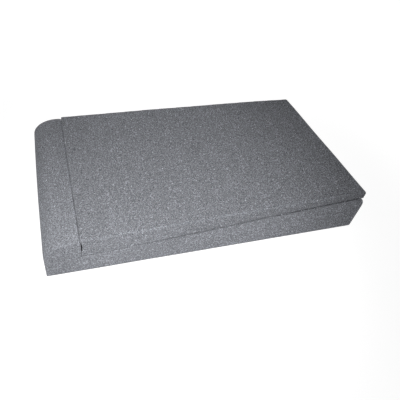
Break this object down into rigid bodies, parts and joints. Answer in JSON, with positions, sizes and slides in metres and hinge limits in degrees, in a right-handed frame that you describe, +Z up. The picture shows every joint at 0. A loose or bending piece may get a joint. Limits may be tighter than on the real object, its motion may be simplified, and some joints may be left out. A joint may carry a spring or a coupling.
{
  "type": "speaker isolation pad",
  "caption": "Foam pad that a desktop speaker stands on: a base with a raised rounded lip at one end, and a loose foam wedge that lies on its sloping bed.",
  "frame": {"origin": "centre of the base's underside, which is the face the pad stands on", "axes": "+X along the pad, from the lip end to the far end; +Y across it; +Z up, out of the face the speaker stands on"},
  "size_m": [0.3, 0.168, 0.0496],
  "materials": {
    "foam": "matte open-cell polyurethane foam, charcoal grey"
  },
  "bodies": {
    "root": {"base": "foam", "wedge": "foam"}
  },
  "joints": []
}
